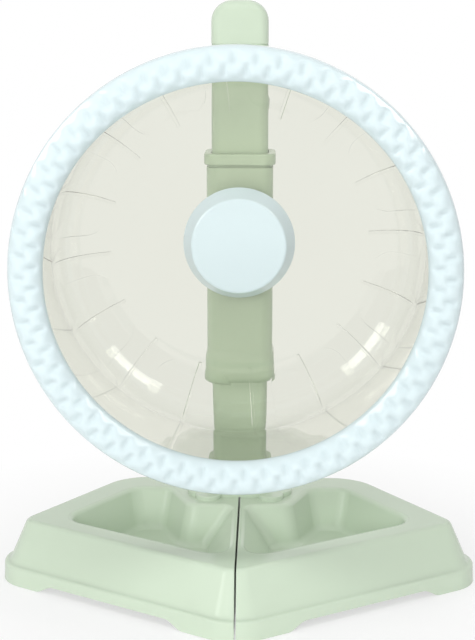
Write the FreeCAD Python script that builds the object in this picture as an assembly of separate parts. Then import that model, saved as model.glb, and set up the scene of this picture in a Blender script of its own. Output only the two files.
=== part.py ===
import FreeCAD, Part
import math
import os

from FreeCAD import Placement, Rotation, Vector

# A rodent exercise wheel that turns on a post, above a base of two bowls.
# Millimetres. X to the right, Y away from the wheel's open mouth, Z up from the floor.
# The origin is on the floor, under the middle of the base.

# Base, seen from above: a nose, two straight front edges, two side edges and a back edge
base_half_depth = 82.5
base_half_width = 125.0
base_front_angle = 31.0
base_side_angle = 56.0
base_nose_radius = 24.0
base_side_radius = 20.0
base_back_radius = 36.0

# Base, in section
base_height = 32.0
base_wall = 2.4
skirt_height = 10.0
skirt_draft = 0.5
ledge_width = 3.0
wall_setback = 9.5
rim_bevel = 2.2
seam_gap = 0.8

# Feet: lobes left standing between the scallops of the skirt
foot_height = 4.2
foot_sink = 1.0
foot_curve_length = 11.0
nose_foot_half_width = 30.0
corner_foot_half_length = 33.0
back_foot_length = 30.0
back_scallop_half_width = 42.0

# Trays sunk in the bowls
tray_depth = 22.0
tray_front_rim = 13.0
tray_side_rim = 17.0
tray_back_rim = 20.0
tray_seam_rim = 3.2
tray_wall_run = 6.0
tray_seam_run = 14.0
tray_corner_radius = 11.0
tray_back_radius = 9.0
tray_seam_radius = 6.0
tray_back_length = 20.5
platform_depth = 17.0
platform_half_width = 27.0
platform_front_radius = 9.0
platform_back_radius = 6.0

# Post
column_width = 30.0
column_depth = 24.0
column_corner = 5.0
column_wall = 2.4
column_back_margin = 19.5
column_web = 10.0
cap_bottom_z = 278.0
cap_height = 22.5
cap_corner = 10.8
cap_plug_depth = 14.0

# Foot plate under the post
plate_thickness = 2.6
plate_half_width = 29.0
plate_front_margin = 4.6
plate_back_margin = 3.5
plate_corner = 8.0
ear_radius = 7.1
ear_spread = 17.25
ear_reach = 7.4
collar_wall = 3.0
collar_height = 13.0
peg_radius = 4.0
peg_length = 12.0
peg_boss_wall = 2.4

# Sleeve on the post
sleeve_wall = 2.4
sleeve_bottom_z = 96.5
sleeve_length = 125.0
sleeve_top_collar = 6.0
sleeve_top_lip = 1.3
sleeve_groove_height = 1.4
sleeve_groove_depth = 0.5
sleeve_low_collar = 16.5
sleeve_low_lip = 0.9
sleeve_low_bevel = 2.5
axle_boss_radius = 12.0
axle_boss_length = 5.7
lock_boss_radius = 9.0
lock_boss_length = 4.8
lock_drop = 34.0

# Axle, bearing and hub, stacked along Y towards the mouth
axle_height = 176.0
axle_radius = 4.0
bolt_head_height = 4.0
bolt_head_flats = 13.0
bolt_tip = 0.5
spacer_length = 1.5
spacer_radius = 6.0
bearing_width = 7.0
bearing_radius = 11.0
race_thickness = 1.7
ball_margin = 1.0
washer_thickness = 1.2
washer_radius = 8.0
nut_height = 5.0
nut_flats = 13.0
housing_radius = 15.0
housing_shoulder = 0.7
housing_tail = 0.5
cap_radius = 29.3
cap_face_radius = 25.4
hub_cap_gap = 0.7
hub_cap_rim = 1.0
hub_cap_wall = 2.0
hub_cap_bevel = 2.2

# Drum
drum_depth = 89.0
drum_back_gap = 3.6
drum_wall = 2.3
drum_back_radius = 67.8
drum_bend = 27.0
drum_bend_steps = 4
drum_flange = 6.0
drum_flange_thickness = 2.0
rib_count = 16
rib_height = 1.3
rib_width_angle = 1.1
rib_first_angle = 4.8

# Ring on the drum's mouth
ring_radius = 105.0
ring_width = 16.5
ring_depth = 17.0
ring_outer_round = 6.3
ring_inner_round = 7.0
ring_round_steps = 3
ring_flare_steps = 2
ring_skirt = 1.0

# Lock: pad, stud and knob behind the post
pad_size = 12.0
pad_thickness = 2.2
pad_travel = 1.0
stud_radius = 3.0
insert_radius = 4.6
knob_radius = 13.5
knob_thickness = 9.6
knob_gap = 1.0
knob_lobes = 6
knob_dent_radius = 5.0
knob_dent_depth = 2.4

# Clearances, and how far a cut runs past the face that it opens
slide_clearance = 0.3
fit_clearance = 0.1
running_clearance = 0.05
cut_margin = 1.0
level_tolerance = 0.001

# Places worked out from the sizes above
column_back_y = base_half_depth - column_back_margin
column_front_y = column_back_y - column_depth
platform_front_y = column_front_y - platform_depth
plate_bottom_z = base_height
plate_top_z = plate_bottom_z + plate_thickness
plate_front_y = column_front_y - plate_front_margin
ear_y = plate_front_y - ear_reach + ear_radius
sleeve_top_z = sleeve_bottom_z + sleeve_length
sleeve_bore_front_y = column_front_y - slide_clearance
sleeve_front_y = sleeve_bore_front_y - sleeve_wall
sleeve_back_y = column_back_y + slide_clearance + sleeve_wall
lock_z = axle_height - lock_drop

bolt_seat_y = sleeve_bore_front_y - slide_clearance - bolt_head_height
axle_boss_y = sleeve_front_y - axle_boss_length
bearing_back_y = axle_boss_y - spacer_length
bearing_front_y = bearing_back_y - bearing_width
washer_front_y = bearing_front_y - washer_thickness
nut_front_y = washer_front_y - nut_height
bolt_tip_y = nut_front_y - bolt_tip
housing_back_y = bearing_back_y + housing_tail
drum_back_y = axle_boss_y - drum_back_gap
drum_inner_y = drum_back_y - drum_wall
drum_front_y = drum_inner_y - drum_depth
lock_boss_y = sleeve_back_y + lock_boss_length
pad_front_y = column_back_y + running_clearance
pad_back_y = pad_front_y + pad_thickness
pad_pocket_y = pad_back_y + pad_travel + slide_clearance
knob_front_y = lock_boss_y + knob_gap
drum_track_radius = drum_back_radius + drum_bend
hub_cap_inside_y = bolt_tip_y - hub_cap_gap
hub_cap_bore = cap_face_radius - hub_cap_rim
flange_radius = hub_cap_bore - fit_clearance


# Plan outlines with rounded corners

def crossing(point, direction, other, other_direction):
    span = other - point
    cross = direction.x * other_direction.y - direction.y * other_direction.x
    along = (span.x * other_direction.y - span.y * other_direction.x) / cross
    return point + direction * along


def inset(corners, distances):
    """The corners with each side, from one corner to the next, moved inwards by its distance."""
    sides = []
    for index, corner in enumerate(corners):
        direction = (corners[(index + 1) % len(corners)] - corner).normalize()
        inward = Vector(-direction.y, direction.x, 0)
        sides.append((corner + inward * distances[index], direction))
    return [crossing(*sides[index - 1], *sides[index]) for index in range(len(sides))]


def rounded_wire(corners, radii, z):
    rounds = []
    for index, corner in enumerate(corners):
        back = (corners[index - 1] - corner).normalize()
        ahead = (corners[(index + 1) % len(corners)] - corner).normalize()
        half = back.getAngle(ahead) / 2
        reach = radii[index] / math.tan(half)
        centre = corner + (back + ahead).normalize() * (radii[index] / math.sin(half))
        middle = centre + (corner - centre).normalize() * radii[index]
        bend = (corner + back * reach, middle, corner + ahead * reach)
        rounds.append([point + Vector(0, 0, z) for point in bend])
    edges = []
    for index, (start, middle, end) in enumerate(rounds):
        edges.append(Part.Arc(start, middle, end).toShape())
        edges.append(Part.LineSegment(end, rounds[(index + 1) % len(rounds)][0]).toShape())
    return Part.Wire(edges)


def rectangle(half_width, front_y, back_y):
    return [
        Vector(-half_width, front_y, 0),
        Vector(half_width, front_y, 0),
        Vector(half_width, back_y, 0),
        Vector(-half_width, back_y, 0),
    ]


def rounded_bar(half_width, front_y, back_y, radius, low_z, high_z):
    wire = rounded_wire(rectangle(half_width, front_y, back_y), [radius] * 4, low_z)
    return Part.Face(wire).extrude(Vector(0, 0, high_z - low_z))


def column_bar(growth, low_z, high_z):
    """A bar of the post's own section, grown outwards on all sides."""
    return rounded_bar(
        column_width / 2 + growth,
        column_front_y - growth,
        column_back_y + growth,
        column_corner + growth,
        low_z,
        high_z,
    )


# Shapes round the wheel's axle, drawn as points of radius and Y

def axle_point(radius, y):
    return Vector(radius, y, axle_height)


def turned(edges, angle=360):
    face = Part.Face(Part.Wire(edges))
    return face.revolve(Vector(0, 0, axle_height), Vector(0, 1, 0), angle)


def outline(points):
    corners = [axle_point(*point) for point in points]
    return [Part.LineSegment(corners[index - 1], corners[index]).toShape() for index in range(len(corners))]


def axle_cylinder(radius, front_y, back_y, x=0, z=axle_height):
    return Part.makeCylinder(radius, back_y - front_y, Vector(x, front_y, z), Vector(0, 1, 0))


def axle_ring(inner, outer, front_y, back_y):
    return turned(outline([(inner, front_y), (outer, front_y), (outer, back_y), (inner, back_y)]))


def axle_hexagon(flats, front_y, back_y):
    corner = flats / math.sqrt(3)
    points = [turn_point(corner, 60 * step, front_y) for step in range(6)]
    wire = Part.makePolygon(points + points[:1])
    return Part.Face(wire).extrude(Vector(0, back_y - front_y, 0))


def turn_point(radius, degrees, y):
    angle = math.radians(degrees)
    return Vector(radius * math.cos(angle), y, axle_height + radius * math.sin(angle))


def turn_about_axle(shape, degrees):
    copy = shape.copy()
    copy.rotate(Vector(0, 0, axle_height), Vector(0, -1, 0), degrees)
    return copy


def level_edges(shape, z):
    boxes = [(edge, edge.BoundBox) for edge in shape.Edges]
    return [edge for edge, box in boxes if max(abs(box.ZMin - z), abs(box.ZMax - z)) < level_tolerance]


def one_solid(shape):
    return shape.removeSplitter().Solids[0]


# Base outline

def base_corners():
    front = math.radians(base_front_angle)
    side = math.radians(base_side_angle)
    nose = Vector(0, -base_half_depth - base_nose_radius * (1 / math.cos(front) - 1), 0)
    centre_x = base_half_width - base_side_radius
    centre_y = nose.y + (math.sin(front) * centre_x + base_side_radius) / math.cos(front)
    outward = Vector(math.sin(side), math.cos(side), 0)
    on_side = Vector(centre_x, centre_y, 0) + outward * base_side_radius
    along_front = Vector(math.cos(front), math.sin(front), 0)
    along_side = Vector(-math.cos(side), math.sin(side), 0)
    right = crossing(nose, along_front, on_side, along_side)
    back = crossing(on_side, along_side, Vector(0, base_half_depth, 0), Vector(1, 0, 0))
    return [nose, right, back, Vector(-back.x, back.y, 0), Vector(-right.x, right.y, 0)]


base_plan = base_corners()
base_plan_radii = [base_nose_radius, base_side_radius, base_back_radius, base_back_radius, base_side_radius]


def base_wire(distance, z):
    corners = inset(base_plan, [distance] * len(base_plan))
    return rounded_wire(corners, [radius - distance for radius in base_plan_radii], z)


def base_band(low, high):
    """The solid between two levels of the base outline, each given as an inset and a height."""
    return Part.makeLoft([base_wire(*low), base_wire(*high)], True, True)


def wall_inset(z):
    slope = wall_setback / (base_height - skirt_height)
    return skirt_draft + ledge_width + slope * (z - skirt_height)


def base_outside():
    skirt = base_band((0, 0), (skirt_draft, skirt_height))
    low_z = skirt_height - ledge_width / 2
    wall = base_band((wall_inset(low_z), low_z), (wall_inset(base_height), base_height))
    body = one_solid(skirt.fuse(wall))
    return body.makeChamfer(rim_bevel, level_edges(body, base_height))


def base_inside():
    skirt_top = skirt_height - base_wall
    skirt = base_band((base_wall, -cut_margin), (base_wall + skirt_draft, skirt_top))
    low_z = skirt_top - ledge_width
    high_z = base_height - base_wall
    wall = base_band((wall_inset(low_z) + base_wall, low_z), (wall_inset(high_z) + base_wall, high_z))
    return skirt.fuse(wall)


# Tray of the right-hand bowl

def tray_corners():
    rim = wall_inset(base_height)
    nose, right, back = base_plan[:3]
    front_edge, side_edge, back_edge = (
        inset(base_plan, [rim + width] * len(base_plan))
        for width in (tray_front_rim, tray_side_rim, tray_back_rim)
    )
    seam_x = seam_gap / 2 + tray_seam_rim
    ahead = Vector(0, 1, 0)
    across = Vector(1, 0, 0)
    along_front = (right - nose).normalize()
    along_side = (back - right).normalize()
    seam_front = crossing(front_edge[0], along_front, Vector(seam_x, 0, 0), ahead)
    outer = crossing(front_edge[0], along_front, side_edge[1], along_side)
    outer_back = crossing(side_edge[1], along_side, back_edge[2], across)
    return [
        seam_front,
        outer,
        outer_back,
        outer_back - across * tray_back_length,
        Vector(platform_half_width, platform_front_y, 0),
        Vector(seam_x, platform_front_y, 0),
    ]


def tray_outline(growth, z):
    """The tray's corners at a height, grown outwards by a wall."""
    share = (base_height - z) / tray_depth
    runs = [tray_wall_run * share - growth] * 5 + [tray_seam_run * share - growth]
    return [Vector(corner.x, corner.y, z) for corner in inset(tray_corners(), runs)]


def flat_block(low, high):
    """The solid between two outlines with flat sides."""
    faces = []
    for index in range(len(low)):
        after = (index + 1) % len(low)
        faces.append([low[index], low[after], high[after], high[index]])
    faces += [low, high]
    return Part.Solid(Part.Shell([Part.Face(Part.makePolygon(face + face[:1])) for face in faces]))


def tray_solid(growth):
    """The hollow of the tray, or with a wall's growth the block that keeps its wall and floor."""
    floor_z = base_height - tray_depth - growth
    low = tray_outline(growth, floor_z)
    body = flat_block(low, tray_outline(growth, base_height + cut_margin))
    radii = [
        tray_corner_radius,
        tray_corner_radius,
        tray_back_radius,
        platform_back_radius,
        platform_front_radius,
        tray_seam_radius,
    ]
    for corner, radius in zip(low, radii):
        standing = [edge for edge in body.Edges if edge.BoundBox.ZLength > tray_depth]
        standing.sort(key=lambda edge: edge.distToShape(Part.Vertex(corner))[0])
        body = body.makeFillet(radius, standing[:1])
    return body


# Scallops that leave the feet standing

def scallop(start, end, point, direction):
    """A cut through the skirt, with an S-curve at each end, along a side of the base."""
    rise = foot_height + foot_sink
    radius = (foot_curve_length ** 2 + rise ** 2) / (4 * rise)
    half_turn = math.asin(foot_curve_length / (2 * radius)) / 2
    reach = radius * math.sin(half_turn)
    lift = radius * (1 - math.cos(half_turn))
    edges = []
    tops = []
    for origin, sign in ((start, 1), (end, -1)):
        low = Vector(origin, 0, -foot_sink)
        high = low + Vector(sign * foot_curve_length, 0, rise)
        middle = (low + high) / 2
        bend = Vector(sign * reach, 0, lift)
        edges.append(Part.Arc(low, low + bend, middle).toShape())
        edges.append(Part.Arc(middle, high - bend, high).toShape())
        tops.append(high)
    edges.append(Part.LineSegment(*tops).toShape())
    edges.append(Part.LineSegment(Vector(end, 0, -foot_sink), Vector(start, 0, -foot_sink)).toShape())
    wire = Part.Wire(Part.__sortEdges__(edges))
    thickness = base_wall + skirt_draft + 2 * cut_margin
    cut = Part.Face(wire).extrude(Vector(0, thickness, 0))
    cut.translate(Vector(0, -cut_margin, 0))
    turn = Rotation(Vector(0, 0, 1), math.degrees(math.atan2(direction.y, direction.x)))
    cut.Placement = Placement(point, turn) * cut.Placement
    return cut


def scallops():
    nose, right, back = base_plan[:3]
    front_length = (right - nose).Length
    side_length = (back - right).Length
    along_front = (right - nose).normalize()
    along_side = (back - right).normalize()
    return [
        scallop(nose_foot_half_width, front_length - corner_foot_half_length, nose, along_front),
        scallop(corner_foot_half_length, side_length - back_foot_length, right, along_side),
        scallop(-back_scallop_half_width, back_scallop_half_width, Vector(0, back.y, 0), Vector(-1, 0, 0)),
    ]


def bowl_right():
    reach = 2 * base_half_width
    half = Part.makeBox(reach, 2 * reach, 2 * base_height, Vector(seam_gap / 2, -reach, -base_height / 2))
    inner_half = half.copy()
    inner_half.translate(Vector(base_wall, 0, 0))
    hollow = base_inside().common(inner_half).cut(tray_solid(base_wall))
    boss_low_z = base_height - peg_length - base_wall
    boss = Part.makeCylinder(
        peg_radius + fit_clearance + peg_boss_wall,
        peg_length,
        Vector(ear_spread, ear_y, boss_low_z),
    )
    bore = Part.makeCylinder(
        peg_radius + fit_clearance,
        2 * base_height,
        Vector(ear_spread, ear_y, 0),
    )
    bowl = base_outside().common(half).cut(tray_solid(0)).cut(hollow)
    bowl = bowl.fuse(boss).cut(bore)
    return one_solid(bowl.cut(scallops()))


def bowl_left():
    return bowl_right().mirror(Vector(0, 0, 0), Vector(1, 0, 0))


# Stand

def column():
    tube = column_bar(0, plate_top_z, cap_bottom_z)
    bore = column_bar(-column_wall, plate_top_z + column_web, cap_bottom_z)
    return one_solid(tube.cut(bore))


def arch(half_span, low_z, high_z, radius):
    """A wire in the plane of X and Z: a rectangle with its two top corners rounded."""
    lean = radius * (1 - math.sin(math.radians(45)))
    arc_z = high_z - radius
    edges = []
    for side in (-1, 1):
        edge_x = side * half_span
        shoulder = Vector(edge_x, 0, arc_z)
        bend = Vector(edge_x - side * lean, 0, high_z - lean)
        crown = Vector(edge_x - side * radius, 0, high_z)
        edges.append(Part.LineSegment(Vector(edge_x, 0, low_z), shoulder).toShape())
        edges.append(Part.Arc(shoulder, bend, crown).toShape())
    for z, reach in ((low_z, half_span), (high_z, half_span - radius)):
        edges.append(Part.LineSegment(Vector(-reach, 0, z), Vector(reach, 0, z)).toShape())
    return Part.Wire(Part.__sortEdges__(edges))


def column_cap():
    top_z = cap_bottom_z + cap_height
    front = Part.Face(arch(column_width / 2, cap_bottom_z, top_z, cap_corner))
    front = front.extrude(Vector(0, column_depth, 0))
    front.translate(Vector(0, column_front_y, 0))
    side = Part.Face(arch(column_depth / 2, cap_bottom_z, top_z, column_corner))
    side.rotate(Vector(0, 0, 0), Vector(0, 0, 1), 90)
    side = side.extrude(Vector(column_width, 0, 0))
    side.translate(Vector(-column_width / 2, column_front_y + column_depth / 2, 0))
    body = column_bar(0, cap_bottom_z, top_z).common(front).common(side)
    plug_low_z = cap_bottom_z - cap_plug_depth
    plug = column_bar(-column_wall - fit_clearance, plug_low_z, cap_bottom_z + cap_height / 2)
    return one_solid(body.fuse(plug))


def foot_plate():
    back_y = column_back_y + plate_back_margin
    plate = rounded_bar(plate_half_width, plate_front_y, back_y, plate_corner, plate_bottom_z, plate_top_z)
    collar_top_z = plate_top_z + collar_height
    collar = column_bar(collar_wall, plate_bottom_z + plate_thickness / 2, collar_top_z)
    plate = plate.fuse(collar).cut(column_bar(fit_clearance, plate_top_z, collar_top_z + cut_margin))
    for side in (-1, 1):
        foot = Vector(side * ear_spread, ear_y, plate_bottom_z)
        ear = Part.makeCylinder(ear_radius, plate_thickness, foot)
        peg = Part.makeCylinder(peg_radius, peg_length + plate_thickness / 2, foot - Vector(0, 0, peg_length))
        plate = plate.fuse(ear).fuse(peg)
    return one_solid(plate)


# Carriage

def sleeve():
    outside = slide_clearance + sleeve_wall
    top_low_z = sleeve_top_z - sleeve_top_collar
    groove_low_z = top_low_z - sleeve_groove_height
    low_top_z = sleeve_bottom_z + sleeve_low_collar
    low = column_bar(outside + sleeve_low_lip, sleeve_bottom_z, low_top_z)
    body = low.makeChamfer(sleeve_low_bevel, level_edges(low, sleeve_bottom_z))
    body = body.fuse(column_bar(outside, low_top_z, groove_low_z))
    body = body.fuse(column_bar(outside - sleeve_groove_depth, groove_low_z, top_low_z))
    body = body.fuse(column_bar(outside + sleeve_top_lip, top_low_z, sleeve_top_z))
    body = body.fuse(axle_cylinder(axle_boss_radius, axle_boss_y, sleeve_front_y + sleeve_wall / 2))
    lock = axle_cylinder(lock_boss_radius, sleeve_back_y - sleeve_wall / 2, lock_boss_y, z=lock_z)
    body = body.fuse(lock)
    body = body.cut(column_bar(slide_clearance, sleeve_bottom_z - cut_margin, sleeve_top_z + cut_margin))
    body = body.cut(axle_cylinder(axle_radius + running_clearance, axle_boss_y - cut_margin, column_front_y))
    body = body.cut(axle_hexagon(bolt_head_flats + 2 * fit_clearance, bolt_seat_y, column_front_y))
    body = body.cut(axle_cylinder(insert_radius, column_back_y, lock_boss_y + cut_margin, z=lock_z))
    body = body.cut(pad_block(fit_clearance, column_back_y, pad_pocket_y))
    return one_solid(body)


def pad_block(growth, front_y, back_y):
    half = pad_size / 2 + growth
    return Part.makeBox(2 * half, back_y - front_y, 2 * half, Vector(-half, front_y, lock_z - half))


def axle_bolt():
    shank = axle_cylinder(axle_radius, bolt_tip_y, bolt_seat_y + bolt_head_height / 2)
    head = axle_hexagon(bolt_head_flats, bolt_seat_y, bolt_seat_y + bolt_head_height)
    return one_solid(shank.fuse(head))


def axle_spacer():
    return axle_ring(axle_radius + running_clearance, spacer_radius, bearing_back_y, axle_boss_y)


def axle_washer():
    return axle_ring(axle_radius + running_clearance, washer_radius, washer_front_y, bearing_front_y)


def axle_nut():
    body = axle_hexagon(nut_flats, nut_front_y, washer_front_y)
    bore = axle_radius + running_clearance
    return body.cut(axle_cylinder(bore, nut_front_y - cut_margin, washer_front_y + cut_margin))


def bearing_inner_race():
    inner = axle_radius + running_clearance
    return axle_ring(inner, axle_radius + race_thickness, bearing_front_y, bearing_back_y)


def bearing_outer_race():
    return axle_ring(bearing_radius - race_thickness, bearing_radius, bearing_front_y, bearing_back_y)


def bearing_ball_ring():
    inner = axle_radius + race_thickness + running_clearance
    outer = bearing_radius - race_thickness - running_clearance
    return axle_ring(inner, outer, bearing_front_y + ball_margin, bearing_back_y - ball_margin)


def knob_insert():
    body = axle_cylinder(insert_radius - running_clearance, pad_pocket_y, lock_boss_y, z=lock_z)
    bore = stud_radius + running_clearance
    return body.cut(axle_cylinder(bore, column_back_y, lock_boss_y + cut_margin, z=lock_z))


# Lock

def clamp_pad():
    return pad_block(0, pad_front_y, pad_back_y)


def knob_stud():
    end_y = knob_front_y + knob_thickness / 2
    return axle_cylinder(stud_radius, pad_back_y, end_y, z=lock_z)


def lock_knob():
    back_y = knob_front_y + knob_thickness
    body = axle_cylinder(knob_radius, knob_front_y, back_y, z=lock_z)
    for step in range(knob_lobes):
        angle = 2 * math.pi * step / knob_lobes
        reach = knob_radius + knob_dent_radius - knob_dent_depth
        x = reach * math.sin(angle)
        z = lock_z + reach * math.cos(angle)
        body = body.cut(axle_cylinder(knob_dent_radius, knob_front_y, back_y, x, z))
    hole_end_y = knob_front_y + knob_thickness / 2
    hole = axle_cylinder(stud_radius + running_clearance, knob_front_y, hole_end_y, z=lock_z)
    return one_solid(body.cut(hole))


# Wheel

def bend_points(centre, radius, start, end, steps):
    """Points of radius and Y along a bend, from one angle to another about its centre."""
    points = []
    for step in range(steps + 1):
        angle = math.radians(start + (end - start) * step / steps)
        points.append((centre[0] + radius * math.cos(angle), centre[1] + radius * math.sin(angle)))
    return points


def drum_skin(offset, front_y):
    """The drum's section from the mouth to the back plate, moved outwards from its inner face."""
    centre = (drum_back_radius, drum_inner_y - drum_bend)
    bend = bend_points(centre, drum_bend + offset, 0, 90, drum_bend_steps)
    return [(drum_track_radius + offset, front_y)] + bend


def drum_layer(low_offset, high_offset, front_y, angle):
    """Part of a layer of the drum, between two offsets, centred on the X side of the axle."""
    points = drum_skin(low_offset, front_y) + drum_skin(high_offset, front_y)[::-1]
    return turn_about_axle(turned(outline(points), angle), angle / 2)


def drum_shell():
    hole = housing_radius + fit_clearance
    flange_edge = drum_track_radius + drum_flange
    flange_back_y = drum_front_y + drum_flange_thickness
    inner = drum_skin(0, drum_front_y) + [(hole, drum_inner_y)]
    outer = [(hole, drum_back_y)] + drum_skin(drum_wall, flange_back_y)[::-1]
    return turned(outline(inner + outer + [(flange_edge, flange_back_y), (flange_edge, drum_front_y)]))


def drum():
    rib_step = 360 / rib_count
    rib = drum_layer(-rib_height, drum_wall / 2, drum_front_y + drum_flange_thickness, rib_width_angle)
    ribs = [turn_about_axle(rib, rib_first_angle + index * rib_step) for index in range(rib_count)]
    return one_solid(drum_shell().fuse(ribs))


def rim_ring():
    inner = ring_radius - ring_width
    back_y = drum_front_y + drum_flange_thickness + ring_skirt
    front_y = back_y - ring_depth
    lip = drum_track_radius - slide_clearance
    outer_centre = (ring_radius - ring_outer_round, front_y + ring_outer_round)
    inner_centre = (inner + ring_inner_round, front_y + ring_inner_round)
    flare_length = drum_front_y - inner_centre[1]
    flare_radius = (flare_length ** 2 + (lip - inner) ** 2) / (2 * (lip - inner))
    flare_angle = math.degrees(math.asin(flare_length / flare_radius))
    flare_centre = (inner + flare_radius, inner_centre[1])
    groove = drum_track_radius + drum_flange + fit_clearance
    points = [(ring_radius, back_y)]
    points += bend_points(outer_centre, ring_outer_round, 0, -90, ring_round_steps)
    points += bend_points(inner_centre, ring_inner_round, -90, -180, ring_round_steps)
    points += bend_points(flare_centre, flare_radius, 180, 180 - flare_angle, ring_flare_steps)[1:]
    points += [(groove, drum_front_y), (groove, back_y)]
    return turned(outline(points))


def hub_housing():
    shoulder_y = bearing_front_y - housing_shoulder
    points = [
        (bearing_radius, bearing_front_y),
        (bearing_radius, housing_back_y),
        (housing_radius, housing_back_y),
        (housing_radius, drum_inner_y),
        (flange_radius, drum_inner_y),
        (flange_radius, shoulder_y),
        (bearing_radius - race_thickness, shoulder_y),
        (bearing_radius - race_thickness, bearing_front_y),
    ]
    return turned(outline(points))


def hub_cap():
    face_y = hub_cap_inside_y - hub_cap_wall
    points = [
        (0, face_y),
        (cap_face_radius - hub_cap_bevel, face_y),
        (cap_face_radius, face_y + hub_cap_bevel),
        (cap_radius, drum_inner_y),
        (hub_cap_bore, drum_inner_y),
        (hub_cap_bore, hub_cap_inside_y),
        (0, hub_cap_inside_y),
    ]
    return turned(outline(points))


pieces = {
    "column": column,
    "column_cap": column_cap,
    "foot_plate": foot_plate,
    "sleeve": sleeve,
    "axle_bolt": axle_bolt,
    "axle_spacer": axle_spacer,
    "axle_washer": axle_washer,
    "axle_nut": axle_nut,
    "bearing_inner_race": bearing_inner_race,
    "bearing_outer_race": bearing_outer_race,
    "bearing_ball_ring": bearing_ball_ring,
    "knob_insert": knob_insert,
    "clamp_pad": clamp_pad,
    "knob_stud": knob_stud,
    "lock_knob": lock_knob,
    "drum": drum,
    "rim_ring": rim_ring,
    "hub_housing": hub_housing,
    "hub_cap": hub_cap,
    "bowl_right": bowl_right,
    "bowl_left": bowl_left,
}

os.makedirs("parts", exist_ok=True)
for name, make in pieces.items():
    shape = make()
    shape.exportStep(f"parts/{name}.step")
    print(name, len(shape.Solids), shape.isValid(), round(shape.Volume / 1000, 2), "cm3")
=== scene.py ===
import math

import bmesh
import bpy
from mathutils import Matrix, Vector


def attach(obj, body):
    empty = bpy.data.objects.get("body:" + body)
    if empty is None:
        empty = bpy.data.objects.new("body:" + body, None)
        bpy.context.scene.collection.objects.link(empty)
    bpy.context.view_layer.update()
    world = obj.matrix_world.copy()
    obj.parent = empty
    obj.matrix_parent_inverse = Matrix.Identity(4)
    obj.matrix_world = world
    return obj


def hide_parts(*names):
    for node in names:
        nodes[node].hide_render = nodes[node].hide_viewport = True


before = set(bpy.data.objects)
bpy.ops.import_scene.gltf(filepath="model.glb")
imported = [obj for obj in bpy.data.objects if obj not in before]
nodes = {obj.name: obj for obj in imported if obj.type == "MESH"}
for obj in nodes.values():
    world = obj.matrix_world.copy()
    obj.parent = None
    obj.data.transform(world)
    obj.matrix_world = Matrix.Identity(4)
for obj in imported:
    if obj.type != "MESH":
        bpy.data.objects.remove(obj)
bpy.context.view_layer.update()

mm = 0.001
weld = 0.002  # mm, points closer than this become one
print("frame loaded with", len(nodes), "nodes")

axle = {"height": 176.0}  # mm, the wheel turns about Y at this height
axleCentre = (0.0, 0.0, axle["height"] * mm)


# Small tools for modelling by hand

def deselectAll():
    if bpy.context.object and bpy.context.object.mode != "OBJECT":
        bpy.ops.object.mode_set(mode="OBJECT")
    bpy.ops.object.select_all(action="DESELECT")


def makeActive(piece):
    deselectAll()
    piece.select_set(True)
    bpy.context.view_layer.objects.active = piece


def editMode(piece):
    makeActive(piece)
    bpy.ops.object.mode_set(mode="EDIT")
    bpy.ops.mesh.select_mode(type="VERT")


def objectMode():
    bpy.ops.object.mode_set(mode="OBJECT")


def namePiece(name):
    piece = bpy.context.object
    piece.name = name
    piece.data.name = name
    return piece


def pick(kind, test):  # selects the verts, edges or faces whose middle passes the test
    mesh = bmesh.from_edit_mesh(bpy.context.edit_object.data)
    bpy.ops.mesh.select_all(action="DESELECT")
    bpy.ops.mesh.select_mode(type=kind)
    if kind == "VERT":
        found = [(item, item.co) for item in mesh.verts]
    elif kind == "EDGE":
        found = [(item, (item.verts[0].co + item.verts[1].co) / 2) for item in mesh.edges]
    else:
        found = [(item, item.calc_center_median()) for item in mesh.faces]
    for item, centre in found:
        if test(item, centre / mm):
            item.select_set(True)
    mesh.select_flush_mode()
    bmesh.update_edit_mesh(bpy.context.edit_object.data)


def pickNear(spot, reach=0.02):
    pick("VERT", lambda vert, place: (place - Vector(spot)).length < reach)


def pickOpenEdges():
    pick("EDGE", lambda edge, place: len(edge.link_faces) == 1)


def cleanMesh():
    bpy.ops.mesh.select_all(action="SELECT")
    bpy.ops.mesh.remove_doubles(threshold=weld * mm)
    bpy.ops.mesh.normals_make_consistent(inside=False)


def applyModifier(piece, kind, **settings):
    makeActive(piece)
    modifier = piece.modifiers.new(kind.title(), kind)
    for key, value in settings.items():
        setattr(modifier, key, value)
    bpy.ops.object.modifier_apply(modifier=modifier.name)


def combine(piece, tool, operation, solver="EXACT"):  # boolean with a tool that is then thrown away
    applyModifier(piece, "BOOLEAN", object=tool, operation=operation, solver=solver)
    bpy.data.objects.remove(tool)


def roundEdges(piece, width, segments=3, angle=35.0):
    applyModifier(piece, "BEVEL", width=width * mm, segments=segments, limit_method="ANGLE",
                  angle_limit=math.radians(angle))


def smoothPiece(piece, angle=35.0):  # flat faces stay flat beside their rounded edges
    makeActive(piece)
    bpy.ops.object.shade_smooth_by_angle(angle=math.radians(angle))
    applyModifier(piece, "WEIGHTED_NORMAL", keep_sharp=True, weight=80)


def copyPiece(piece, name):
    makeActive(piece)
    bpy.ops.object.duplicate(linked=False)
    return namePiece(name)


def joinPieces(pieces):
    deselectAll()
    for piece in pieces:
        piece.select_set(True)
    bpy.context.view_layer.objects.active = pieces[0]
    bpy.ops.object.join()
    return pieces[0]


def turnCopies(piece, turns):  # copies of a piece about the axle, at turns in degrees seen from the mouth
    copies = []
    for number, turn in enumerate(turns):
        copies.append(copyPiece(piece, piece.name + str(number)))
        editMode(copies[-1])
        bpy.ops.mesh.select_all(action="SELECT")
        bpy.ops.transform.rotate(value=math.radians(turn), orient_axis="Y", center_override=axleCentre)
        objectMode()
    bpy.data.objects.remove(piece)
    return joinPieces(copies)


def pull(shift):  # pulls the selection out, metres
    bpy.ops.mesh.extrude_region_move(TRANSFORM_OT_translate={"value": shift})


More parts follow.
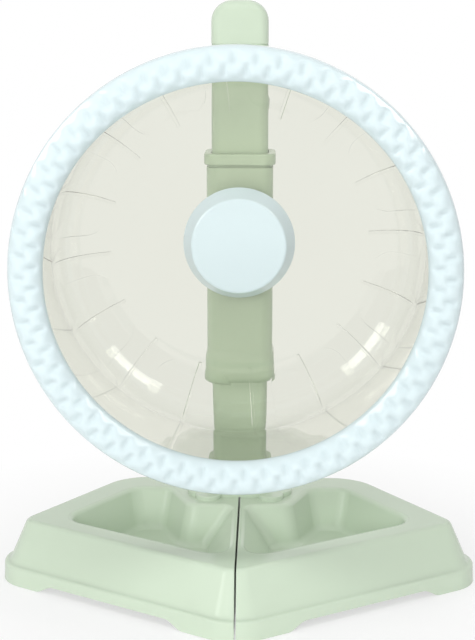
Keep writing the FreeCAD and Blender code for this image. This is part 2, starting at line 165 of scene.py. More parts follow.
def arc(centre, radius, start, end, steps):  # points of an arc, degrees
    turns = [math.radians(start + (end - start) * step / steps) for step in range(steps + 1)]
    return [(centre[0] + radius * math.cos(turn), centre[1] + radius * math.sin(turn)) for turn in turns]


def traceChain(name, spots, closed=True):  # a chain of edges, drawn by pulling out one vertex
    deselectAll()
    bpy.ops.mesh.primitive_plane_add(size=mm)
    piece = namePiece(name)
    editMode(piece)
    bpy.ops.mesh.merge(type="CENTER")
    spots = [Vector(spot) * mm for spot in spots]
    bpy.ops.transform.translate(value=spots[0])
    for before, after in zip(spots, spots[1:]):
        pull(after - before)
    if closed:
        ends = (spots[0] / mm, spots[-1] / mm)
        pick("VERT", lambda vert, place: min((place - end).length for end in ends) < 0.005)
        bpy.ops.mesh.edge_face_add()
    bpy.ops.mesh.select_all(action="SELECT")
    return piece


def spinProfile(name, points, steps, closed=True, z=None):  # points of radius and Y, turned about the axle
    z = axle["height"] if z is None else z
    piece = traceChain(name, [(radius, y, z) for radius, y in points], closed)
    bpy.ops.mesh.spin(steps=steps, angle=2 * math.pi, center=(0, 0, z * mm), axis=(0, 1, 0))
    cleanMesh()
    objectMode()
    return piece


def prism(name, spots, depth):  # a filled outline pulled out to a solid
    piece = traceChain(name, spots)
    bpy.ops.mesh.edge_face_add()
    pull(Vector(depth) * mm)
    cleanMesh()
    objectMode()
    return piece


def disc(name, radius, centre, length, along="Z", sides=64):  # a plain cylinder, as a cutter or a boss to shape
    deselectAll()
    turn = (math.pi / 2, 0, 0) if along == "Y" else (0, 0, 0)
    spot = Vector(centre) * mm
    bpy.ops.mesh.primitive_cylinder_add(vertices=sides, radius=radius * mm, depth=length * mm, location=spot,
                                        rotation=turn)
    bpy.ops.object.transform_apply(location=True, rotation=True, scale=True)
    return namePiece(name)


# A flat face with its own round at each corner, lying or upright
def planFace(name, corners, radii, level, up=True, segments=8, upright=False):
    spots = [(x, level, y) if upright else (x, y, level) for x, y in corners]
    piece = traceChain(name, spots)
    bpy.ops.mesh.edge_face_add()
    face = next(iter(bmesh.from_edit_mesh(piece.data).faces))
    if (face.normal[1 if upright else 2] > 0) != up:
        bpy.ops.mesh.flip_normals()
    for number, (spot, radius) in enumerate(zip(spots, radii)):
        here = Vector(spot)
        opening = (Vector(spots[number - 1]) - here).angle(Vector(spots[(number + 1) % len(spots)]) - here)
        pickNear(spot)
        bpy.ops.mesh.bevel(offset=radius / math.tan(opening / 2) * mm, offset_type="ABSOLUTE", segments=segments,
                           affect="VERTICES")
    pick("FACE", lambda face, place: True)
    return piece


def insetLevels(levels):  # steps the selected face through levels of inset and height
    for (inset, z), (nextInset, nextZ) in zip(levels, levels[1:]):
        if nextInset - inset < 0.001:
            pull((0, 0, (nextZ - z) * mm))
        else:
            bpy.ops.mesh.inset(thickness=(nextInset - inset) * mm, depth=abs(nextZ - z) * mm)


def barFace(name, bar, growth, z):  # the post's section at one level
    halfX, halfY = bar["width"] / 2 + growth, bar["depth"] / 2 + growth
    y = bar["middleY"]
    corners = [(-halfX, y - halfY), (halfX, y - halfY), (halfX, y + halfY), (-halfX, y + halfY)]
    return planFace(name, corners, [bar["corner"] + growth] * 4, z)


def roundedBar(name, bar, levels):  # levels of height and growth, or of height with growth across and along
    levels = [(*level, level[1])[:3] for level in levels]
    z, across, along = levels[0]
    piece = barFace(name, bar, across, z)
    for nextZ, nextAcross, nextAlong in levels[1:]:
        pull((0, 0, (nextZ - z) * mm))
        stretch = [(size + 2 * after) / (size + 2 * before) for size, before, after in (
            (bar["width"], across, nextAcross), (bar["depth"], along, nextAlong))]
        bpy.ops.transform.resize(value=(*stretch, 1), center_override=(0, bar["middleY"] * mm, nextZ * mm))
        z, across, along = nextZ, nextAcross, nextAlong
    cleanMesh()
    objectMode()
    return piece


def finishPiece(piece, body, slotName, material, *replaced):
    piece.data.materials.clear()
    piece.data.materials.append(material)
    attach(piece, body)
    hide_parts(*replaced)
    print("made", piece.name, "with", len(piece.data.polygons), "faces on", body)


# Finishes

def newGroup(name, inputs, outputs):
    group = bpy.data.node_groups.new(name, "ShaderNodeTree")
    for socketName, kind, value in inputs:
        socket = group.interface.new_socket(socketName, in_out="INPUT", socket_type=kind)
        socket.default_value = value
    for socketName, kind in outputs:
        group.interface.new_socket(socketName, in_out="OUTPUT", socket_type=kind)
    return group, group.nodes.new("NodeGroupInput"), group.nodes.new("NodeGroupOutput")


def newNode(tree, kind, values=None, operation=None):  # a shader node with some of its inputs set
    node = tree.nodes.new("ShaderNode" + kind)
    if operation:
        node.operation = operation
    for socketName, value in (values or {}).items():
        node.inputs[socketName].default_value = value
    return node


def joinNodes(tree, *pairs):
    for source, target in pairs:
        tree.links.new(source, target)


def newMaterial(name):
    material = bpy.data.materials.new(name)
    material.use_nodes = True
    return material, material.node_tree, material.node_tree.nodes["Principled BSDF"]


def dim(colour, share=1.0):
    return (*[value * share for value in colour], 1)


def mouldGroup():  # slow colour drift, fine grain and faint handling marks of moulded plastic, and painted shade that darkens the hollows
    floats = [("Drift Scale", 14.0), ("Grain Scale", 900.0), ("Drift", 0.05), ("Gloss", 0.2), ("Gloss Spread", 0.08),
              ("Cavity", 0.1)]
    inputs = [(name, "NodeSocketFloat", value) for name, value in floats]
    inputs.append(("Colour", "NodeSocketColor", (1, 1, 1, 1)))
    outputs = [("Colour", "NodeSocketColor"), ("Roughness", "NodeSocketFloat"), ("Height", "NodeSocketFloat")]
    group, given, result = newGroup("mouldedPlastic", inputs, outputs)
    place = newNode(group, "TexCoord")
    drift = newNode(group, "TexNoise", {"Detail": 3.0})
    grain = newNode(group, "TexNoise", {"Detail": 2.0})
    marks = newNode(group, "TexNoise", {"Scale": 60.0, "Detail": 6.0, "Roughness": 0.7})
    shade = newNode(group, "MapRange", {"From Min": 0.3, "From Max": 0.7})
    low = newNode(group, "Math", {0: 1.0}, "SUBTRACT")
    tint = newNode(group, "VectorMath", operation="SCALE")
    # painted shade: pointy hollows such as the ring's pits get a darker colour, standing in for the shade that falls
    # in them
    form = newNode(group, "NewGeometry")
    hollow = newNode(group, "MapRange", {"From Min": 0.4, "From Max": 0.5})
    hollowLow = newNode(group, "Math", {0: 1.0}, "SUBTRACT")
    paintedHollowShade = newNode(group, "VectorMath", operation="SCALE")
    spread = newNode(group, "Math", operation="MULTIPLY_ADD")
    joinNodes(
        group,
        (place.outputs["Object"], drift.inputs["Vector"]),
        (place.outputs["Object"], grain.inputs["Vector"]),
        (place.outputs["Object"], marks.inputs["Vector"]),
        (given.outputs["Drift Scale"], drift.inputs["Scale"]),
        (given.outputs["Grain Scale"], grain.inputs["Scale"]),
        (drift.outputs["Fac"], shade.inputs["Value"]),
        (given.outputs["Drift"], low.inputs[1]),
        (low.outputs["Value"], shade.inputs["To Min"]),
        (given.outputs["Colour"], tint.inputs[0]),
        (shade.outputs["Result"], tint.inputs["Scale"]),
        (form.outputs["Pointiness"], hollow.inputs["Value"]),
        (given.outputs["Cavity"], hollowLow.inputs[1]),
        (hollowLow.outputs["Value"], hollow.inputs["To Min"]),
        (tint.outputs["Vector"], paintedHollowShade.inputs[0]),
        (hollow.outputs["Result"], paintedHollowShade.inputs["Scale"]),
        (paintedHollowShade.outputs["Vector"], result.inputs["Colour"]),
        (marks.outputs["Fac"], spread.inputs[0]),
        (given.outputs["Gloss Spread"], spread.inputs[1]),
        (given.outputs["Gloss"], spread.inputs[2]),
        (spread.outputs["Value"], result.inputs["Roughness"]),
        (grain.outputs["Fac"], result.inputs["Height"]),
    )
    return group


mouldedPlastic = mouldGroup()
# each look also sets how strongly painted shade darkens its hollows
sageLook = {
    "colour": (0.61, 0.715, 0.57), "Drift Scale": 9.0, "Grain Scale": 1400.0, "Drift": 0.05,
    "Gloss": 0.14, "Gloss Spread": 0.10, "Cavity": 0.12, "bump": 0.05, "bumpDepth": 0.08, "ior": 1.5,
}
iceLook = {
    "colour": (0.685, 0.795, 0.815), "Drift Scale": 11.0, "Grain Scale": 1600.0, "Drift": 0.03,
    "Gloss": 0.12, "Gloss Spread": 0.10, "Cavity": 0.1, "bump": 0.04, "bumpDepth": 0.08, "ior": 1.5,
}


def plasticMaterial(name, look):
    material, tree, shader = newMaterial(name)
    mould = newNode(tree, "Group")
    mould.node_tree = mouldedPlastic
    mould.inputs["Colour"].default_value = dim(look["colour"])
    for key in ("Drift Scale", "Grain Scale", "Drift", "Gloss", "Gloss Spread", "Cavity"):
        mould.inputs[key].default_value = look[key]
    bump = newNode(tree, "Bump", {"Strength": look["bump"], "Distance": look["bumpDepth"] * mm})
    shader.inputs["IOR"].default_value = look["ior"]
    joinNodes(
        tree,
        (mould.outputs["Colour"], shader.inputs["Base Color"]),
        (mould.outputs["Roughness"], shader.inputs["Roughness"]),
        (mould.outputs["Height"], bump.inputs["Height"]),
        (bump.outputs["Normal"], shader.inputs["Normal"]),
    )
    return material


sagePlastic = plasticMaterial("sagePlastic", sageLook)
icePlastic = plasticMaterial("icePlastic", iceLook)

clearLook = {
    "colour": (0.81, 0.82, 0.74), "ior": 1.45, "gloss": 0.02,
    "bounces": 4.5, "shadowTint": (0.985, 0.985, 0.97, 1), "caughtTint": (0.18, 0.18, 0.17, 1),
}


def clearMaterial():  # clear plastic, with flow lines and a light haze, that lets lamps through
    look = clearLook
    material, tree, shader = newMaterial("clearPlastic")
    place = newNode(tree, "TexCoord")
    haze = newNode(tree, "TexNoise", {"Scale": 22.0, "Detail": 5.0})
    gloss = newNode(tree, "MapRange", {"To Min": 0.0, "To Max": look["gloss"] * 2})
    flow = newNode(tree, "TexNoise", {"Scale": 8.0, "Distortion": 0.8})
    tint = newNode(tree, "MixRGB", {"Color1": dim(look["colour"]), "Color2": dim(look["colour"], 0.97)})
    bump = newNode(tree, "Bump", {"Strength": 0.04, "Distance": 0.4 * mm})
    shader.inputs["Transmission Weight"].default_value = 1.0
    shader.inputs["IOR"].default_value = look["ior"]
    passing = newNode(tree, "BsdfTransparent")
    passTint = newNode(tree, "MixRGB", {"Color1": look["shadowTint"], "Color2": look["caughtTint"]})
    rays = newNode(tree, "LightPath")
    late = newNode(tree, "Math", {1: look["bounces"]}, "GREATER_THAN")  # caught in the wall: goes straight on, dimmed by painted shade that stands in for the light lost inside the wall
    soft = newNode(tree, "Math", operation="MAXIMUM")  # lamps and soft light reach what stands behind the wall
    through = newNode(tree, "Math", operation="MAXIMUM")
    mix = newNode(tree, "MixShader")
    joinNodes(
        tree,
        (place.outputs["Object"], haze.inputs["Vector"]),
        (place.outputs["Object"], flow.inputs["Vector"]),
        (haze.outputs["Fac"], gloss.inputs["Value"]),
        (gloss.outputs["Result"], shader.inputs["Roughness"]),
        (flow.outputs["Fac"], tint.inputs["Fac"]),
        (tint.outputs["Color"], shader.inputs["Base Color"]),
        (flow.outputs["Fac"], bump.inputs["Height"]),
        (bump.outputs["Normal"], shader.inputs["Normal"]),
        (rays.outputs["Ray Depth"], late.inputs[0]),
        (rays.outputs["Is Shadow Ray"], soft.inputs[0]),
        (rays.outputs["Is Diffuse Ray"], soft.inputs[1]),
        (soft.outputs["Value"], through.inputs[0]),
        (late.outputs["Value"], through.inputs[1]),
        (late.outputs["Value"], passTint.inputs["Fac"]),
        (passTint.outputs["Color"], passing.inputs["Color"]),
        (through.outputs["Value"], mix.inputs["Fac"]),
        (shader.outputs["BSDF"], mix.inputs[1]),
        (passing.outputs["BSDF"], mix.inputs[2]),
        (mix.outputs["Shader"], tree.nodes["Material Output"].inputs["Surface"]),
    )
    return material


clearPlastic = clearMaterial()

hardwareLooks = {
    "boltSteel": {"colour": (0.62, 0.63, 0.64), "gloss": 0.25, "metallic": 1.0, "lines": (1, 60, 1)},
    "bearingSteel": {"colour": (0.7, 0.71, 0.73), "gloss": 0.1, "metallic": 1.0, "lines": (1, 30, 1)},
    "insertBrass": {"colour": (0.71, 0.56, 0.28), "gloss": 0.2, "metallic": 1.0, "lines": (1, 50, 1)},
    "padRubber": {"colour": (0.03, 0.03, 0.03), "gloss": 0.6, "metallic": 0.0, "lines": (9, 9, 9)},
}


def hardwareMaterial(name, look):  # turned metal or rubber: fine lines round the axle and a little tarnish
    material, tree, shader = newMaterial(name)
    place = newNode(tree, "TexCoord")
    stretch = newNode(tree, "Mapping", {"Scale": look["lines"]})
    lines = newNode(tree, "TexNoise", {"Scale": 40.0, "Detail": 4.0})
    tarnish = newNode(tree, "TexNoise", {"Scale": 120.0})
    tint = newNode(tree, "MixRGB", {"Color1": dim(look["colour"]), "Color2": dim(look["colour"], 0.8)})
    gloss = newNode(tree, "MapRange", {"To Min": look["gloss"], "To Max": look["gloss"] + 0.2})
    bump = newNode(tree, "Bump", {"Strength": 0.15, "Distance": 0.05 * mm})
    shader.inputs["Metallic"].default_value = look["metallic"]
    joinNodes(
        tree,
        (place.outputs["Object"], stretch.inputs["Vector"]),
        (stretch.outputs["Vector"], lines.inputs["Vector"]),
        (place.outputs["Object"], tarnish.inputs["Vector"]),
        (tarnish.outputs["Fac"], tint.inputs["Fac"]),
        (tint.outputs["Color"], shader.inputs["Base Color"]),
        (lines.outputs["Fac"], gloss.inputs["Value"]),
        (gloss.outputs["Result"], shader.inputs["Roughness"]),
        (lines.outputs["Fac"], bump.inputs["Height"]),
        (bump.outputs["Normal"], shader.inputs["Normal"]),
    )
    return material


boltSteel, bearingSteel, insertBrass, padRubber = [hardwareMaterial(*item) for item in hardwareLooks.items()]

for nodeName, material in {
    "axle_bolt": boltSteel, "axle_spacer": boltSteel, "axle_washer": boltSteel, "axle_nut": boltSteel,
    "knob_stud": boltSteel, "bearing_inner_race": bearingSteel, "bearing_outer_race": bearingSteel,
    "bearing_ball_ring": bearingSteel, "knob_insert": insertBrass, "clamp_pad": padRubber,
    "hub_housing": icePlastic,
}.items():
    nodes[nodeName].data.materials.clear()
    nodes[nodeName].data.materials.append(material)
print("finishes made")


# Quilted ring on the drum's mouth

ringSize = {
    "radius": 105.0, "inner": 88.5, "front": -78.3, "back": -61.3, "outerRound": 6.3, "innerRound": 7.0,
    "lip": 94.5, "groove": 100.9, "seat": -64.3, "puffs": 60, "pitDepth": 2.6, "puffRise": 0.5,
    # mm round the section from the back edge; four quilt rows from one line of pits to the next
    "outerRows": [0.8, 4.0, 7.1, 10.25, 12.6, 14.8], "quiltStart": 16.55, "rowStep": 1.575, "quiltRows": 9,
    "innerRows": [31.0, 33.2, 35.8, 38.6, 41.75],
}


def ringPoint(along):  # a point of the ring's section, by its distance round the outside from the back edge
    size = ringSize
    outerCentre = (size["radius"] - size["outerRound"], size["front"] + size["outerRound"])
    innerCentre = (size["inner"] + size["innerRound"], size["front"] + size["innerRound"])
    side = size["back"] - outerCentre[1]
    corner = size["outerRound"] * math.pi / 2
    face = outerCentre[0] - innerCentre[0]
    if along < side:
        return (size["radius"], size["back"] - along)
    along -= side
    if along < corner:
        return arc(outerCentre, size["outerRound"], 0, -math.degrees(along / size["outerRound"]), 1)[1]
    along -= corner
    if along < face:
        return (outerCentre[0] - along, size["front"])
    along -= face
    return arc(innerCentre, size["innerRound"], -90, -90 - math.degrees(along / size["innerRound"]), 1)[1]


def quiltedRing():
    size = ringSize
    quilt = [size["quiltStart"] + size["rowStep"] * step for step in range(size["quiltRows"])]
    rows = [ringPoint(along) for along in size["outerRows"] + quilt + size["innerRows"]]
    back, seat, groove, lip = size["back"], size["seat"], size["groove"], size["lip"]
    outer = [(groove + 0.5, back), (size["radius"] - 0.6, back), (size["radius"] - 0.1, back - 0.2)]
    inner = [(lip + 0.1, seat - 0.05), (lip + 0.8, seat), (groove - 0.3, seat), (groove, seat + 0.3),
             (groove, back - 0.4)]
    piece = spinProfile("rimRing", outer + rows + inner, 6 * size["puffs"])
    editMode(piece)

    def puffStep(place):  # sixths of a puff round from the right-hand side
        return round(math.degrees(math.atan2(place.z - axle["height"], place.x)) / (60.0 / size["puffs"]))

    def onRow(place, row):
        radius = math.hypot(place.x, place.z - axle["height"])
        return math.hypot(radius - row[0], place.y - row[1]) < 0.1

    pit, rise = -size["pitDepth"], size["puffRise"]
    edge = (0.3 * pit, 0.0, 0.0, 0.0)
    beside = (0.9 * pit, 0.05 * pit, 0.5 * rise, 0.8 * rise)
    line = (pit, 0.05 * pit, 0.6 * rise, rise)
    middle = (0.3 * pit, 0.1 * pit, 0.1 * pit, 0.3 * pit)
    relief = [(0, edge), (0, beside), (0, line), (0, beside), (0, middle),
              (3, beside), (3, line), (3, beside), (3, edge)]
    pitRows = rows[len(size["outerRows"]):]
    for row, (turn, heights) in zip(pitRows, relief):  # the two lines of pits stand half a puff apart
        for sixth, height in enumerate(heights):  # from the pit to the middle of the puff
            sixths = [(turn + sixth) % 6, (turn - sixth) % 6]
            if height:
                pick("VERT", lambda vert, place: onRow(place, row) and puffStep(place) % 6 in sixths)
                bpy.ops.transform.shrink_fatten(value=height * mm)
    objectMode()
    applyModifier(piece, "SUBSURF", levels=1, render_levels=1)
    makeActive(piece)
    bpy.ops.object.shade_smooth()
    return piece


finishPiece(quiltedRing(), "wheel", "ice_plastic", icePlastic, "rim_ring")


# Clear drum with its running ribs and foot panels

drumSize = {
    "track": 94.8, "wall": 2.3, "bend": 27.0, "bendSteps": 12, "front": -64.3, "inner": 24.7, "hole": 15.1,
    "flange": 100.8, "flangeBack": -62.3, "steps": 180,
    "panelDepth": 1.1, "panelStart": -0.1, "panelSkip": 2, "panelFade": 5,  # the last two in steps of the bend
    "panelHalfAngle": 14.9, "panelFront": 0.0, "panelInner": 70.0, "panelCorner": 11.0, "panelFoot": 1.0,
    "ribs": 16, "ribHeight": 1.3, "ribStart": 0.03, "ribRise": 6, "ribWidth": 1.8, "ribRound": 0.55, "firstRib": 4.8,
}


def bendArc(offset, start, end, steps):  # points of the bend from track to back wall, off its inner face
    size = drumSize
    centre = (size["track"] - size["bend"], size["inner"] - size["bend"])
    return arc(centre, size["bend"] + offset, start, end, steps)


def bendPoint(offset, step):  # one point of the bend, by its step from the track
    turn = 90 / drumSize["bendSteps"] * step
    return bendArc(offset, turn, turn, 1)[0]


def drumSkin(offset, front):
    return [(drumSize["track"] + offset, front)] + bendArc(offset, 0, 90, drumSize["bendSteps"])


def drumShell():
    size = drumSize
    flange, flangeBack = size["flange"], size["flangeBack"]
    edge = size["track"] + size["wall"]
    inner = drumSkin(0, size["front"]) + [(size["hole"], size["inner"])]
    outer = [(size["hole"], size["inner"] + size["wall"])] + drumSkin(size["wall"], flangeBack + 1.0)[::-1]
    mouth = [(edge + 0.3, flangeBack + 0.3), (edge + 1.0, flangeBack), (flange, flangeBack), (flange, size["front"])]
    return spinProfile("clearDrum", inner + outer + mouth, size["steps"])


def footPanels():  # a sunk panel between every second pair of ribs, that fades towards the mouth
    size = drumSize
    lean = math.tan(math.radians(size["panelHalfAngle"]))
    low, high = size["panelInner"], size["flange"]
    sides = [(-lean * low, low), (lean * low, low), (lean * high, high), (-lean * high, high)]
    sides = [(x, z + axle["height"]) for x, z in sides]
    radii = [size["panelCorner"], size["panelCorner"], size["panelFoot"], size["panelFoot"]]
    panel = planFace("footPanel", sides, radii, size["panelFront"], upright=True)
    pull((0, (size["inner"] - 0.3 - size["panelFront"]) * mm, 0))
    cleanMesh()
    objectMode()
    layer = []
    for step in range(size["panelSkip"], size["bendSteps"] + 1):
        share = min((step - size["panelSkip"]) / size["panelFade"], 1)
        layer.append(bendPoint(size["panelStart"] + (size["panelDepth"] - size["panelStart"]) * share, step))
    layer = [(0, layer[0][1])] + layer + [(0, layer[-1][1])]
    combine(panel, spinProfile("panelLayer", layer, size["steps"], closed=False), "INTERSECT")
    ribTurn = 360 / size["ribs"]
    first = size["firstRib"] + ribTurn - 90
    return turnCopies(panel, [first + 2 * ribTurn * number for number in range(size["ribs"] // 2)])


def drumRibs():  # ribs that rise along the bend
    size = drumSize
    section = []
    for step in range(size["bendSteps"] + 1):
        height = size["ribStart"] + (size["ribHeight"] - size["ribStart"]) * min(step / size["ribRise"], 1) ** 2
        section.append(bendPoint(-height, step))
    section += bendArc(size["wall"] / 2, 90, 0, size["bendSteps"])
    half = size["ribWidth"] / 2
    rib = prism("drumRib", [(radius, y, axle["height"] - half) for radius, y in section], (0, 0, 2 * half))
    roundEdges(rib, size["ribRound"], 3, 60)
    return turnCopies(rib, [size["firstRib"] + 360 / size["ribs"] * number for number in range(size["ribs"])])


def clearDrum():
    piece = drumShell()
    combine(piece, footPanels(), "DIFFERENCE")
    combine(piece, drumRibs(), "UNION")
    smoothPiece(piece, 30)
    return piece


finishPiece(clearDrum(), "wheel", "clear_plastic", clearPlastic, "drum")


# Cap over the axle nut

hubSize = {
    "face": 12.7, "inside": 14.7, "bore": 24.4, "back": 24.6, "radius": 29.3, "round": 1.4, "roundMiddle": 23.58,
    "slope": 21.7, "crown": [(0, -0.05), (8, -0.04), (16, -0.02), (22.5, 0.0)],  # radius and bulge of the face
}


def hubCap():
    size = hubSize
    centre = (size["roundMiddle"], size["face"] + size["round"])
    radius, back = size["radius"], size["back"]
    face = [(spot, size["face"] + bulge) for spot, bulge in size["crown"]]
    side = [(radius - 0.25, back - 0.7), (radius, back - 0.25), (radius, back)]
    inside = [(size["bore"], back), (size["bore"], size["inside"]), (0, size["inside"])]
    rim = arc(centre, size["round"], -90, -size["slope"], 6)
    piece = spinProfile("hubCap", face + rim + side + inside, 128, closed=False)
    smoothPiece(piece)
    return piece


finishPiece(hubCap(), "wheel", "ice_plastic", icePlastic, "hub_cap")


# Post and its cap

postSize = {"width": 30.0, "depth": 24.0, "corner": 5.0, "middleY": 51.0, "foot": 34.6, "top": 278.0, "joint": 0.4}
capSize = {"height": 22.5, "sideRound": 10.8, "frontRound": 5.0, "steps": 9}


def post():
    foot, top, joint = postSize["foot"], postSize["top"], postSize["joint"]
    piece = roundedBar("post", postSize, [(foot, 0), (top - joint, 0), (top, -joint)])
    smoothPiece(piece)
    return piece


def postCap():
    size, low, joint = capSize, postSize["top"], postSize["joint"]
    top = low + size["height"]
    levels = [(low, -joint, -joint), (low + joint, 0, 0)]
    for step in range(size["steps"] + 1):
        rise = size["sideRound"] * math.sin(math.pi / 2 * step / size["steps"])
        across = size["sideRound"] - math.sqrt(max(size["sideRound"] ** 2 - rise ** 2, 0))
        above = max(rise - size["sideRound"] + size["frontRound"], 0)
        along = size["frontRound"] - math.sqrt(max(size["frontRound"] ** 2 - above ** 2, 0))
        levels.append((top - size["sideRound"] + rise, -across, -along))
    piece = roundedBar("postCap", postSize, levels)
    smoothPiece(piece)
    return piece


finishPiece(post(), "stand", "green_plastic", sagePlastic, "column")
finishPiece(postCap(), "stand", "green_plastic", sagePlastic, "column_cap")


# Foot plate with its collar, ears and pegs

plateSize = {
    "low": 32.0, "top": 34.6, "halfWidth": 29.0, "front": 34.4, "back": 66.5, "corner": 8.0, "ear": 7.1,
    "earSpread": 17.25, "earY": 34.1, "earDrop": 0.03, "collarWall": 3.0, "collarTop": 47.6, "socketGap": 0.1,
    "peg": 4.0, "pegLength": 12.0, "pegRound": 0.6,
    "edge": 0.8, "edgeSteps": [(0, 0.8), (0.12, 0.4), (0.4, 0.12), (0.8, 0)],  # inset, and depth below the top
    "collarFoot": [(0.1, 0.7), (0.4, 0.3), (0.9, 0)],  # height above the plate, and growth over the wall
    "collarRim": [(1.0, 0), (0.3, -0.3), (0, -1.0)],  # depth below the collar's top, and growth over the wall
}


def footPlate():
    size = plateSize
    across, front, back = size["halfWidth"], size["front"], size["back"]
    low, top, collarTop = size["low"], size["top"], size["collarTop"]
    thick = top - low
    middle = low + thick / 2
    piece = planFace("footPlate", [(-across, front), (across, front), (across, back), (-across, back)],
                     [size["corner"]] * 4, low)
    insetLevels([(0, low)] + [(inset, top - drop) for inset, drop in size["edgeSteps"]])
    cleanMesh()
    objectMode()
    for side in (-1, 1):
        ear = disc("ear", size["ear"], (side * size["earSpread"], size["earY"], middle), thick)
        editMode(ear)
        pick("FACE", lambda face, place: face.normal.z > 0.9)
        bpy.ops.mesh.bevel(offset=size["edge"] * mm, segments=3, affect="EDGES")
        bpy.ops.mesh.select_all(action="SELECT")
        bpy.ops.transform.translate(value=(0, 0, -size["earDrop"] * mm))
        objectMode()
        combine(piece, ear, "UNION")
    wall = size["collarWall"]
    levels = [(middle, wall + size["collarFoot"][0][1])]
    levels += [(top + rise, wall + growth) for rise, growth in size["collarFoot"]]
    levels += [(collarTop - drop, wall + growth) for drop, growth in size["collarRim"]]
    combine(piece, roundedBar("collar", postSize, levels), "UNION")
    gap = size["socketGap"]
    combine(piece, roundedBar("socket", postSize, [(top - 0.05, gap), (collarTop + 2, gap)]), "DIFFERENCE")
    for side in (-1, 1):
        spot = (side * size["earSpread"], size["earY"], (middle + low - size["pegLength"]) / 2)
        peg = disc("peg", size["peg"], spot, middle - low + size["pegLength"], sides=48)
        roundEdges(peg, size["pegRound"], 2, 60)
        combine(piece, peg, "UNION")
    smoothPiece(piece)
    return piece


finishPiece(footPlate(), "stand", "green_plastic", sagePlastic, "foot_plate")


# Sleeve that slides on the post, with the axle boss in front and the lock boss behind

sleeveSize = {
    "wall": 2.7, "gap": 0.3, "low": 96.5, "top": 221.5, "axleBoss": 12.0, "axleBossY": 30.6, "front": 36.3,
    "back": 65.7, "lockZ": 142.0, "lockBoss": 9.0, "lockBossY": 70.5,
    # height above the foot or depth below the top, and growth over the wall
    "footSteps": [(0, -2.2), (0.25, -1.5), (0.9, -0.6), (2.3, 0.5), (4.2, 1.1), (6.0, 1.2), (8.0, 0.95), (13.4, 0.9),
                  (14.8, 0.8), (16.2, 0.45), (17.5, 0.1), (18.6, 0.0)],
    "topSteps": [(7.4, 0.0), (7.3, -0.5), (6.1, -0.5), (5.9, 1.0), (5.4, 1.3), (0.9, 1.3), (0.3, 1.1), (0, 0.5)],
    # radius, middle and length along Y
    "boltHole": (4.05, 34.5, 12.0), "headSeat": (7.7, 37.4, 6.0), "insertHole": (4.6, 68.0, 9.0),
    "pocketHalf": 6.1, "pocketFront": 61.0, "pocketDepth": 5.55,
}


def sleeveBoss(name, radius, tip, root, z):  # from the boss's tip to just inside the sleeve, with a fillet
    way = 1 if root > tip else -1
    side = [(radius - 1, tip), (radius, tip + way), (radius, root - 1.5 * way), (radius + 0.5, root - 0.5 * way),
            (radius + 1.5, root + 0.05 * way), (radius + 1.5, root + 1.2 * way)]
    return spinProfile(name, [(0, tip)] + side + [(0, root + 1.2 * way)], 64, closed=False, z=z)


def sleeveHole(name, z):
    radius, y, length = sleeveSize[name]
    return disc(name, radius, (0, y, z), length, "Y", 48)


def slidingSleeve():
    size = sleeveSize
    low, top, lockZ = size["low"], size["top"], size["lockZ"]
    levels = [(low + rise, size["wall"] + growth) for rise, growth in size["footSteps"]]
    levels += [(top - drop, size["wall"] + growth) for drop, growth in size["topSteps"]]
    piece = roundedBar("slidingSleeve", postSize, levels)
    combine(piece, sleeveBoss("axleBoss", size["axleBoss"], size["axleBossY"], size["front"], axle["height"]), "UNION")
    combine(piece, sleeveBoss("lockBoss", size["lockBoss"], size["lockBossY"], size["back"], lockZ), "UNION")
    combine(piece, roundedBar("bore", postSize, [(low - 2, size["gap"]), (top + 2, size["gap"])]), "DIFFERENCE")
    combine(piece, sleeveHole("boltHole", axle["height"]), "DIFFERENCE")
    combine(piece, sleeveHole("headSeat", axle["height"]), "DIFFERENCE")
    half, front = size["pocketHalf"], size["pocketFront"]
    square = [(-half, -half), (half, -half), (half, half), (-half, half)]
    pocket = prism("padPocket", [(x, front, lockZ + z) for x, z in square], (0, size["pocketDepth"], 0))
    combine(pocket, sleeveHole("insertHole", lockZ), "UNION")
    combine(piece, pocket, "DIFFERENCE")
    smoothPiece(piece)
    return piece


finishPiece(slidingSleeve(), "carriage", "green_plastic", sagePlastic, "sleeve")


# Lock knob behind the post

knobSize = {
    "front": 71.5, "back": 81.1, "radius": 13.5, "lobes": 6, "dent": 5.0, "dentDepth": 2.4, "dentLength": 20.0,
    "edge": 1.2, "dish": 7.0, "dishDepth": 0.6, "dishRound": 0.5,
}


def lockKnob():
    size = knobSize
    middle = (size["front"] + size["back"]) / 2
    z = sleeveSize["lockZ"]
    piece = disc("lockKnob", size["radius"], (0, middle, z), size["back"] - size["front"], "Y", 120)
    for lobe in range(size["lobes"]):
        turn = 2 * math.pi * lobe / size["lobes"]
        reach = size["radius"] + size["dent"] - size["dentDepth"]
        spot = (reach * math.sin(turn), middle, z + reach * math.cos(turn))
        combine(piece, disc("dent", size["dent"], spot, size["dentLength"], "Y", 48), "DIFFERENCE")
    roundEdges(piece, size["edge"], 4)
    dish = disc("dish", size["dish"], (0, size["back"], z), 2 * size["dishDepth"], "Y", 64)
    roundEdges(dish, size["dishRound"], 3)
    combine(piece, dish, "DIFFERENCE")
    smoothPiece(piece)
    return piece


finishPiece(lockKnob(), "knob", "green_plastic", sagePlastic, "lock_knob")


# Bowls of the base: one modelled, the other its mirror image

